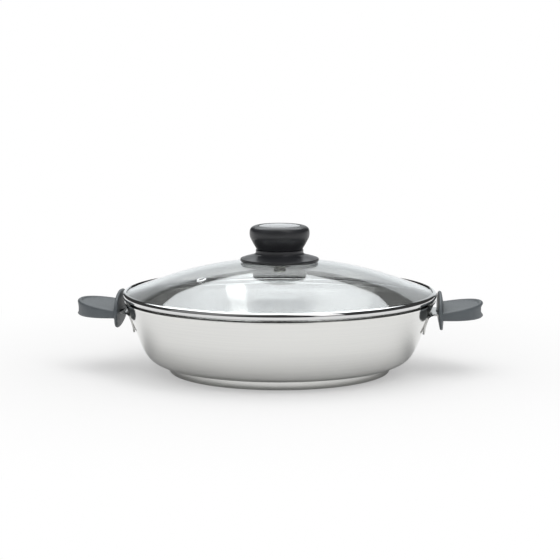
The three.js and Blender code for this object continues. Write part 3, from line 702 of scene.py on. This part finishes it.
def knob_screw():
    """Pan-head screw from below, through washer, seal, glass, gasket and flange into the insert."""
    foot = HEAD_TOP - SCREW_HEAD_HEIGHT
    # Head from its middle outwards, as (share of the radius, above the foot)
    bulge = [(0, 0), (0.3, 0.05), (0.6, 0.3), (0.88, 1.0), (0.98, 1.7), (1, 2.4)]
    head = eased([(SCREW_HEAD * out, foot + up) for out, up in bulge])
    tip = INSERT_FOOT + INSERT_LENGTH - SCREW_SHORT
    shank = [(SCREW_HEAD, HEAD_TOP), (KNOB_SCREW, HEAD_TOP), (KNOB_SCREW, tip - 0.8),
             (KNOB_SCREW - 0.7, tip), (0, tip)]
    depth = foot + SCREW_HEAD_HEIGHT * 0.45
    recess = cross_recess(SCREW_HEAD * 0.5, SCREW_HEAD * 0.11, foot - RECESS_PAST, depth)
    return less(turned(head + shank, SMALL_ROUND), *recess)


# Handles

def bracket_line():
    """Pan side of the bracket as (outwards, height), from the foot of the wing up and out along the
    tongue."""
    half = BRACKET_SHEET / 2
    radius = BRACKET_BEND + half
    foot = TONGUE - WING_DROP
    top = TONGUE + half
    about = TONGUE - BRACKET_BEND
    lean = math.atan2(1, wall_radius(about + 0.5) - wall_radius(about - 0.5))
    bend_low = top - radius * (1 - math.cos(lean))
    line = []
    for i in range(WING_ROWS + 1):
        height = foot + (bend_low - foot) * i / WING_ROWS
        away = max(1 - (height - foot) / FLARE_RISE, 0)
        line.append((wall_radius(height) + FIT / math.sin(lean) + WING_FLARE * away ** 2, height))
    start = line[-1][0] + radius * math.sin(lean)
    for i in range(1, BEND_ROWS + 1):
        now = lean * (1 - i / BEND_ROWS)
        line.append((start - radius * math.sin(now), top - radius * (1 - math.cos(now))))
    return line + [(SHIELD_IN + stop, top) for stop in TONGUE_STOPS] + [(TONGUE_END, top)]


def handle_bracket():
    """Stamped strip: one row of points drawn out across, hugged to the pan, dented at the welds and
    thickened."""
    line = bracket_line()
    shape = bmesh.new()
    row = [shape.verts.new((x * MM, 0, z * MM)) for x, z in line]
    edges = [shape.edges.new(pair) for pair in zip(row, row[1:])]

    def origin(vert):
        """Which point of the first row a vertex is drawn out of."""
        return min(range(len(line)), key=lambda k: (vert.co - row[k].co).length)

    rows = [row]
    for _ in range(ACROSS_ROWS):
        drawn = bmesh.ops.extrude_edge_only(shape, edges=edges)["geom"]
        drawn = [part for part in drawn if isinstance(part, bmesh.types.BMEdge)]
        edges = [edge for edge in drawn if all(v not in rows[-1] for v in edge.verts)]
        fresh = {v for edge in edges for v in edge.verts}
        rows.append(sorted(fresh, key=origin))
    weld_height = TONGUE - WING_DROP + WELD_RISE
    for i, across in enumerate(rows):
        share = 2 * i / ACROSS_ROWS - 1
        for k, vert in enumerate(across):
            x, z = line[k]
            bent = min(max((k - WING_ROWS) / BEND_ROWS, 0), 1)
            hug = WING_HUG * (1 - bent)
            slim = bent * (BRACKET_WIDTH - TONGUE_WIDTH)
            rise = min(math.hypot(x - line[0][0], z - line[0][1]), WING_CORNER)
            corner = WING_CORNER - math.sqrt(WING_CORNER ** 2 - (WING_CORNER - rise) ** 2)
            y = ((BRACKET_WIDTH - slim) / 2 - corner) * share
            dent = math.hypot(abs(y) - WELD_SPREAD, z - weld_height) / WELD_RADIUS
            x -= WELD_DEPTH * max(1 - dent ** 2, 0)
            vert.co = Vector((x - hug * (x - math.sqrt(x * x - y * y)), y, z)) * MM
    # The faces look at the pan, so that the sheet thickens away from it
    bmesh.ops.recalc_face_normals(shape, faces=shape.faces)
    if min(shape.faces, key=lambda face: face.calc_center_median().z).normal.x > 0:
        bmesh.ops.reverse_faces(shape, faces=shape.faces)
    bmesh.ops.solidify(shape, geom=shape.faces, thickness=BRACKET_SHEET * MM)
    bmesh.ops.recalc_face_normals(shape, faces=shape.faces)
    sharp = math.radians(BRINK_ANGLE)
    brinks = [e for e in shape.edges if len(e.link_faces) == 2 and e.calc_face_angle() > sharp]
    bmesh.ops.bevel(shape, geom=brinks, offset=BRACKET_BRINK * MM, offset_type="OFFSET", segments=3,
                    profile=0.5, affect="EDGES", material=-1, clamp_overlap=True)
    return shape


def grip_outline(margin):
    """Plan of the grip drawn in by a margin, as (outwards, across) points."""
    half = GRIP_WIDTH / 2 - margin
    root = (SHIELD_IN + SHIELD_OUT) / 2
    reach = SHIELD_OUT + GRIP_REACH - margin - root
    outline = []
    for i in range(NOSE_ROWS + 1):
        turn = math.pi * (i / NOSE_ROWS - 0.5)
        along = abs(math.cos(turn)) ** GRIP_NOSE
        across = math.copysign(abs(math.sin(turn)) ** GRIP_SHOULDER, turn)
        outline.append((root + reach * along, half * across))
    for i in range(1, 2 * ROOT_ROWS):
        outline.append((root, half * (1 - i / ROOT_ROWS)))
    return outline


def grip_share(x):
    """How far out along the grip: 0 at the shield, 1 at the tip."""
    return max((x - SHIELD_OUT) / GRIP_REACH, 0)


def grip_top(x):
    return TONGUE + GRIP_ROOT_TOP + (GRIP_TIP_TOP - GRIP_ROOT_TOP) * grip_share(x)


def grip_under(x):
    return TONGUE - GRIP_ROOT_UNDER - (GRIP_TIP_UNDER - GRIP_ROOT_UNDER) * grip_share(x)


def grip_body():
    """Flat hand grip: outlines stacked from the underside up, with a notched nose and a dished top
    inside a raised lip. Each level has its margin and its height."""
    def level(margin, height):
        return [(x, y, height(x)) for x, y in grip_outline(margin)]
    notch = []
    for x, y in grip_outline(0):
        near = max(1 - (y / NOTCH_HALF) ** 2, 0)
        notch.append((x - GROOVE * near, y, (grip_top(x) + grip_under(x)) / 2 + NOTCH_LIFT))
    return bridged([
        level(9, grip_under),
        level(2.6, grip_under),
        level(0.9, lambda x: grip_under(x) + 0.5),
        level(0, lambda x: grip_under(x) + 1.6),
        notch,
        level(0.1, lambda x: grip_top(x) - 2.0),
        level(0.5, lambda x: grip_top(x) - 0.9),
        level(1.3, lambda x: grip_top(x) - 0.25),
        level(2.3, grip_top),
        level(3.2, lambda x: grip_top(x) - 0.1),
        level(4.6, lambda x: grip_top(x) - GRIP_DISH * (0.35 + 0.65 * grip_share(x))),
        level(13, lambda x: grip_top(x) - GRIP_DISH * (0.45 + 0.65 * grip_share(x))),
    ])


def shield_body():
    """Oval guard between the hand and the pan: ovals stacked from its pan side outwards."""
    def oval(x, wide, high):
        loop = []
        for i in range(OVAL_ROWS):
            turn = math.tau * i / OVAL_ROWS
            y = wide * math.copysign(abs(math.cos(turn)) ** OVAL_POWER, math.cos(turn))
            z = high * math.copysign(abs(math.sin(turn)) ** OVAL_POWER, math.sin(turn))
            bent = (SHIELD_BEND_TOP if z > 0 else SHIELD_BEND_FOOT) * (z / SHIELD_HEIGHT * 2) ** 2
            loop.append((x + bent, y, TONGUE + SHIELD_LIFT + z))
        return loop
    wide = SHIELD_WIDTH / 2
    high = SHIELD_HEIGHT / 2
    return bridged([
        oval(SHIELD_IN, wide * 0.35, high * 0.35),
        oval(SHIELD_IN, wide * 0.7, high * 0.7),
        oval(SHIELD_IN, wide - 0.8, high - 0.8),
        oval(SHIELD_IN + SHIELD_EDGE * 0.4, wide, high),
        oval(SHIELD_IN + SHIELD_EDGE, wide - 0.6, high - 0.6),
        oval(SHIELD_OUT, wide * 0.75, high * 0.6),
        oval(SHIELD_OUT, wide * 0.35, high * 0.3),
    ])


def handle_grip():
    """Grip and shield moulded as one, slotted for the tongue and sunk for the screw."""
    whole = fused([grip_body(), shield_body()], GRIP_GRIT, GRIP_ROUNDS)
    half = BRACKET_SHEET / 2 + FIT
    wide = TONGUE_WIDTH / 2 + FIT
    slot = block((SHIELD_IN - CUT_DEEP, -wide, TONGUE - half), (TONGUE_END + FIT, wide, TONGUE + half))
    radius = HANDLE_SCREW_HEAD + FIT
    low = TONGUE - CUT_DEEP
    sink = turned([(0, low), (radius, low), (radius, TONGUE), (0, TONGUE)], SMALL_ROUND)
    return less(whole, slot, moved(sink, Matrix.Translation((SCREW_AT * MM, 0, 0))))


def handle_screw():
    """Flat-headed screw from below through the grip into the tongue."""
    head = HANDLE_SCREW_HEAD
    shank = HANDLE_SCREW
    line = [(0, SCREW_FOOT), (head - 0.6, SCREW_FOOT), (head, SCREW_FOOT + 0.5), (head, SCREW_SEAT),
            (shank, SCREW_SEAT), (shank, SCREW_TIP - 0.5), (shank - 0.5, SCREW_TIP), (0, SCREW_TIP)]
    recess = cross_recess(head * 0.6, head * 0.13, SCREW_FOOT - RECESS_PAST, SCREW_FOOT + 0.8)
    return moved(less(turned(line, SMALL_ROUND), *recess), Matrix.Translation((SCREW_AT * MM, 0, 0)))


# The pieces

piece("bowl", pan_shell(), SATIN, "pan", "pan_shell")
piece("base_disc", base_cap(), SATIN, "pan", "base_cap")
for side, turn in (("right", 0), ("left", math.pi)):
    about = Matrix.Rotation(turn, 4, "Z")
    piece(f"bracket_{side}", moved(handle_bracket(), about), PRESSED,
          "pan", f"handle_bracket_{side}")
    piece(f"grip_{side}", moved(handle_grip(), about), GREY,
          "pan", f"handle_grip_{side}", GRIP_SHARP)
    piece(f"grip_screw_{side}", moved(handle_screw(), about), FASTENER,
          "pan", f"handle_screw_{side}")
piece("glass_dome", lid_glass(), CLEAR, "lid", "lid_glass")
piece("rim_band", lid_band(), BRIGHT, "lid", "lid_band")
piece("steam_vent", vent_eyelet(), BRIGHT, "lid", "vent_eyelet")
piece("gasket", ring(SHANK_HOLE, GASKET_RADIUS, GASKET_FOOT, GASKET_TOP), SILICONE,
      "lid", "knob_gasket")
piece("knob_flange", knob_base(), BLACK, "lid", "knob_base")
piece("knob_head", knob_body(), BLACK, "lid", "knob_body")
piece("cap_disc", knob_cap(), CAP_STEEL, "lid", "knob_cap")
piece("seal", ring(SHANK_HOLE, SEAL_RADIUS, SEAL_TOP - SEAL_THICK, SEAL_TOP), SILICONE,
      "lid", "knob_seal")
piece("washer", knob_washer(), FASTENER, "lid", "knob_washer")
piece("lid_screw", knob_screw(), FASTENER, "lid", "knob_screw")
# The two fully hidden pieces keep their CAD shape and get a material
for node, material in (("base_core", ALUMINIUM), ("knob_insert", BRASS)):
    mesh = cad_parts[node].data
    mesh.materials.clear()
    mesh.materials.append(material)


# Camera at the photograph's angle

CAMERA_AZIMUTH = math.radians(3.0)
CAMERA_ELEVATION = math.radians(8.66)
CAMERA_DISTANCE = 1.7
FOCAL_PIXELS = 1874.4
FRAME_PIXELS = 560
SENSOR = 36.0
LOOK_HEIGHT = 60.0
LOOK_AT = Vector((0, 0, LOOK_HEIGHT * MM))
RAISE_PIXELS = 23.8         # middle of the picture above that point
SIDE_PIXELS = 0.4           # and to its right
RAISE = RAISE_PIXELS / FOCAL_PIXELS * CAMERA_DISTANCE
SIDE = SIDE_PIXELS / FOCAL_PIXELS * CAMERA_DISTANCE


def aim(obj, spot, target):
    """Puts a lamp, the veil box or the camera at a spot and points it at a target."""
    obj.location = spot
    obj.rotation_euler = (target - spot).to_track_quat("-Z", "Y").to_euler()


back = Vector((math.sin(CAMERA_AZIMUTH) * math.cos(CAMERA_ELEVATION),
               -math.cos(CAMERA_AZIMUTH) * math.cos(CAMERA_ELEVATION), math.sin(CAMERA_ELEVATION)))
across = Vector((math.cos(CAMERA_AZIMUTH), math.sin(CAMERA_AZIMUTH), 0))
upward = back.cross(across)
camera = bpy.data.objects.new("camera", bpy.data.cameras.new("camera"))
camera.data.sensor_width = SENSOR
camera.data.lens = FOCAL_PIXELS / FRAME_PIXELS * SENSOR
camera.data.clip_start = 0.05
camera.data.clip_end = 50
bpy.context.scene.collection.objects.link(camera)
aim(camera, LOOK_AT + back * CAMERA_DISTANCE, LOOK_AT + upward * RAISE + across * SIDE)
bpy.context.scene.camera = camera


# Studio in metres: paper floor, soft boxes, a white sweep behind and a dark room all round

COOL_WHITE = "#f9fdff"
PURE_WHITE = (1, 1, 1, 1)
PAPER_RADIUS = 9
PAPER_DROP = 0.3 * MM           # below the base, so that the two faces stay apart
PAPER = 0.93                    # share of the light that the paper gives back
PAPER_PAINTED_SHADE = 0.73           # painted shade: the paper darker close to the base, for all but the camera
PAINTED_SHADE_EDGE = (0.115, 0.165)  # from the one to the other
PAINTED_WHITE_LIFT = 0.35              # painted light: share of plain white that the camera sees under the pan, lifting its shadow
WHITE_EDGE = (0.10, 0.45)       # from there to all white
ROOM_RADIUS = 3.5
ROOM_FOOT = 4                   # degrees above level
ROOM_ROWS = 20
ROOM_GLOW = 0.05
ROOM_GLOW_THROUGH = 0.20        # for rays that have come through the glass
SWEEP_RADIUS = 3.2
SWEEP_HALF = 25                 # degrees to each side
SWEEP_HEIGHT = 1.9
SWEEP_ROWS = 6
SWEEP_FADE = (0.3, 0.85)        # heights over which it dims
SWEEP_DIM = 0.66
SWEEP_SHOULDER = 1.2            # height above which its bright part narrows
SWEEP_NARROWING = 1.2           # how fast, aside over height
SWEEP_SIDES = (0.8, 1.3)        # distances aside over which it goes dark
VEIL_RADIUS = 1.55
VEIL_ELEVATION = 50
VEIL_DISTANCE = 2.4
VEIL_ASIDE = -0.23
VEIL_UP = 0.48
VEIL_RISE = (-1.35, -0.6)       # heights on the box over which its lower part brightens
VEIL_GLOW = (1.85, 3.2)
VEIL_FADE = (-0.24, 0.08)       # heights on the box over which its upper part dims
VEIL_DIM = 0.15
LAMP_DISTANCE = 1.5
WHITE_WATTS = 4                 # for each square metre of a lamp that looks white
FILL = 0.68


def studio_material(name):
    """An empty material; gives it and its tree."""
    made = bpy.data.materials.new(name)
    made.use_nodes = True
    made.node_tree.nodes.clear()
    return made, made.node_tree


def studio_piece(name, shape, material):
    """An object of the studio with its material."""
    made = held(shape)
    made.name = name
    made.data.materials.append(material)
    return made


def leave_to_mirrors(made):
    """Hides a studio piece from all but reflections and what is seen through the glass."""
    made.visible_camera = False
    made.visible_diffuse = False
    made.visible_shadow = False


def towards(azimuth, elevation):
    """Direction from the pan; azimuth 0 is in front and 90 to the right."""
    a = math.radians(azimuth)
    e = math.radians(elevation)
    return Vector((math.sin(a) * math.cos(e), -math.cos(a) * math.cos(e), math.sin(e)))


def floor():
    """Matt white floor that goes over into the white background away from the pan. Under the pan the camera
    sees painted light that lifts its shadow, and reflections see painted shade on the paper close to the
    base.
    """
    made, tree = studio_material("floor_paper_painted_light_and_shade")
    place = add(tree, "ShaderNodeTexCoord").outputs["Object"]
    away = add(tree, "ShaderNodeVectorMath", {0: place}, operation="LENGTH").outputs["Value"]
    path = add(tree, "ShaderNodeLightPath").outputs
    # Painted light: the camera sees plain white mixed into the paper under the pan, lifting its shadow
    painted_lift = add(tree, "ShaderNodeMath", {0: path["Is Camera Ray"], 1: PAINTED_WHITE_LIFT}, operation="MULTIPLY")
    share = add(tree, "ShaderNodeMapRange", {"Value": away, "From Min": WHITE_EDGE[0],
                                             "From Max": WHITE_EDGE[1], "To Min": painted_lift.outputs[0]},
                interpolation_type="SMOOTHSTEP")
    # Painted shade: reflections see the paper darker close to the base than its lighting makes it
    near = add(tree, "ShaderNodeMapRange", {"Value": path["Is Camera Ray"], "To Min": PAPER_PAINTED_SHADE,
                                            "To Max": PAPER})
    tone = add(tree, "ShaderNodeMapRange", {"Value": away, "From Min": PAINTED_SHADE_EDGE[0],
                                            "From Max": PAINTED_SHADE_EDGE[1], "To Min": near.outputs[0],
                                            "To Max": PAPER})
    paper = add(tree, "ShaderNodeBsdfDiffuse", {"Color": tone.outputs[0]})
    white = add(tree, "ShaderNodeEmission", {"Color": PURE_WHITE, "Strength": 1.0})
    both = add(tree, "ShaderNodeMixShader", {0: share.outputs[0], 1: paper.outputs[0], 2: white.outputs[0]})
    add(tree, "ShaderNodeOutputMaterial", {"Surface": both.outputs[0]})
    shape = bmesh.new()
    bmesh.ops.create_circle(shape, cap_ends=True, segments=96, radius=PAPER_RADIUS)
    bmesh.ops.translate(shape, vec=(0, 0, -PAPER_DROP), verts=shape.verts)
    studio_piece("floor", shape, made)


def dark_room():
    """The unlit room all round and above, a little paler through the glass than in mirrors."""
    made, tree = studio_material("room_dark")
    through = add(tree, "ShaderNodeLightPath").outputs["Is Transmission Ray"]
    level = add(tree, "ShaderNodeMapRange", {"Value": through, "To Min": ROOM_GLOW,
                                             "To Max": ROOM_GLOW_THROUGH})
    dull = add(tree, "ShaderNodeEmission", {"Color": PURE_WHITE, "Strength": level.outputs[0]})
    add(tree, "ShaderNodeOutputMaterial", {"Surface": dull.outputs[0]})
    shape = bmesh.new()
    row = []
    for i in range(ROOM_ROWS + 1):
        rise = math.radians(ROOM_FOOT + (90 - ROOM_FOOT) * i / ROOM_ROWS)
        row.append(shape.verts.new(Vector((math.cos(rise), 0, math.sin(rise))) * ROOM_RADIUS))
    edges = [shape.edges.new(pair) for pair in zip(row, row[1:])]
    bmesh.ops.spin(shape, geom=row + edges, cent=(0, 0, 0), axis=(0, 0, 1), dvec=(0, 0, 0),
                   angle=math.tau, steps=72, use_merge=True)
    room = studio_piece("room", shape, made)
    leave_to_mirrors(room)


def backdrop():
    """White sweep behind the pan that dims upwards and goes dark at its sides and upper corners."""
    made, tree = studio_material("backdrop_white")
    place = add(tree, "ShaderNodeTexCoord").outputs["Object"]
    parts = add(tree, "ShaderNodeSeparateXYZ", {0: place}).outputs
    level = add(tree, "ShaderNodeMapRange", {"Value": parts["Z"], "From Min": SWEEP_FADE[0],
                                             "From Max": SWEEP_FADE[1], "To Min": 1.0,
                                             "To Max": SWEEP_DIM})
    aside = add(tree, "ShaderNodeMath", {0: parts["X"]}, operation="ABSOLUTE")
    over = add(tree, "ShaderNodeMath", {0: parts["Z"], 1: SWEEP_SHOULDER}, operation="SUBTRACT")
    above = add(tree, "ShaderNodeMath", {0: over.outputs[0], 1: 0.0}, operation="MAXIMUM")
    reach = add(tree, "ShaderNodeMath", {0: above.outputs[0], 1: SWEEP_NARROWING, 2: aside.outputs[0]},
                operation="MULTIPLY_ADD")
    narrow = add(tree, "ShaderNodeMapRange", {"Value": reach.outputs[0], "From Min": SWEEP_SIDES[0],
                                              "From Max": SWEEP_SIDES[1], "To Min": 1.0, "To Max": 0.0},
                 interpolation_type="SMOOTHSTEP")
    glow = add(tree, "ShaderNodeMath", {0: level.outputs[0], 1: narrow.outputs[0]}, operation="MULTIPLY")
    white = add(tree, "ShaderNodeEmission", {"Color": to_linear(COOL_WHITE), "Strength": glow.outputs[0]})
    add(tree, "ShaderNodeOutputMaterial", {"Surface": white.outputs[0]})
    shape = bmesh.new()
    side = math.radians(SWEEP_HALF)
    edge = Vector((math.sin(side), math.cos(side), 0)) * SWEEP_RADIUS
    heights = [SWEEP_HEIGHT * i / SWEEP_ROWS for i in range(SWEEP_ROWS + 1)]
    row = [shape.verts.new(edge + Vector((0, 0, height))) for height in heights]
    edges = [shape.edges.new(pair) for pair in zip(row, row[1:])]
    bmesh.ops.spin(shape, geom=row + edges, cent=(0, 0, 0), axis=(0, 0, 1), dvec=(0, 0, 0),
                   angle=2 * side, steps=40)
    sweep = studio_piece("backdrop", shape, made)
    leave_to_mirrors(sweep)


def veil_box():
    """Large eight-sided soft box high behind the pan. Its mirror image is the pale veil on the front of
    the glass, and the dark wedges at either side lie below its lower corners."""
    made, tree = studio_material("veil_box_white")
    place = add(tree, "ShaderNodeTexCoord").outputs["Object"]
    height = add(tree, "ShaderNodeSeparateXYZ", {0: place}).outputs["Y"]
    level = add(tree, "ShaderNodeMapRange", {"Value": height, "From Min": VEIL_RISE[0],
                                             "From Max": VEIL_RISE[1], "To Min": VEIL_GLOW[0],
                                             "To Max": VEIL_GLOW[1]}, interpolation_type="SMOOTHSTEP")
    fade = add(tree, "ShaderNodeMapRange", {"Value": height, "From Min": VEIL_FADE[0],
                                            "From Max": VEIL_FADE[1], "To Min": 1.0,
                                            "To Max": VEIL_DIM}, interpolation_type="SMOOTHSTEP")
    both = add(tree, "ShaderNodeMath", {0: level.outputs[0], 1: fade.outputs[0]}, operation="MULTIPLY")
    glow = add(tree, "ShaderNodeEmission", {"Color": to_linear(COOL_WHITE), "Strength": both.outputs[0]})
    add(tree, "ShaderNodeOutputMaterial", {"Surface": glow.outputs[0]})
    shape = bmesh.new()
    bmesh.ops.create_circle(shape, cap_ends=True, segments=8, radius=VEIL_RADIUS)
    box = studio_piece("veil_box", shape, made)
    way = towards(180, VEIL_ELEVATION)
    shift = Vector((VEIL_ASIDE, 0, 0)) + Vector((0, -way.z, way.y)) * VEIL_UP
    spot = LOOK_AT + way * VEIL_DISTANCE + shift
    aim(box, spot, spot - way)
    leave_to_mirrors(box)


def softbox(name, azimuth, elevation, size, glow):
    """Soft box that faces the pan; glow 1 is as bright as white."""
    lamp = bpy.data.lights.new(name, "AREA")
    lamp.shape = "RECTANGLE"
    lamp.size, lamp.size_y = size
    lamp.energy = glow * size[0] * size[1] * WHITE_WATTS
    made = bpy.data.objects.new(name, lamp)
    bpy.context.scene.collection.objects.link(made)
    aim(made, LOOK_AT + towards(azimuth, elevation) * LAMP_DISTANCE, LOOK_AT)
    made.visible_camera = False
    return made


def background():
    """White for the camera, for reflections and through glass; a lower even fill for the light itself."""
    world = bpy.data.worlds.new("studio")
    bpy.context.scene.world = world
    world.use_nodes = True
    tree = world.node_tree
    tree.nodes.clear()
    path = add(tree, "ShaderNodeLightPath").outputs
    seen = add(tree, "ShaderNodeMath", {0: path["Is Camera Ray"], 1: path["Is Glossy Ray"]},
               operation="MAXIMUM")
    seen = add(tree, "ShaderNodeMath", {0: seen.outputs[0], 1: path["Is Transmission Ray"]},
               operation="MAXIMUM")
    soft = add(tree, "ShaderNodeBackground", {"Color": PURE_WHITE, "Strength": FILL})
    white = add(tree, "ShaderNodeBackground", {"Color": PURE_WHITE, "Strength": 1.0})
    both = add(tree, "ShaderNodeMixShader", {0: seen.outputs[0], 1: soft.outputs[0], 2: white.outputs[0]})
    add(tree, "ShaderNodeOutputWorld", {"Surface": both.outputs[0]})


floor()
dark_room()
backdrop()
veil_box()
softbox("right_box", azimuth=44, elevation=57, size=(0.40, 1.2), glow=1.4)
left_box = softbox("left_box", azimuth=-60, elevation=46, size=(1.3, 2.0), glow=0.16)
left_box.visible_diffuse = False
strip_box = softbox("strip_box", azimuth=38, elevation=18, size=(0.55, 0.8), glow=0.3)
strip_box.visible_diffuse = False
key_box = softbox("key_box", azimuth=8, elevation=79, size=(1.4, 1.6), glow=0.82)
key_box.visible_glossy = False
top_box = softbox("top_box", azimuth=188, elevation=78, size=(1.4, 0.9), glow=0.82)
top_box.visible_diffuse = False
background()
bpy.context.scene.view_settings.view_transform = "Standard"
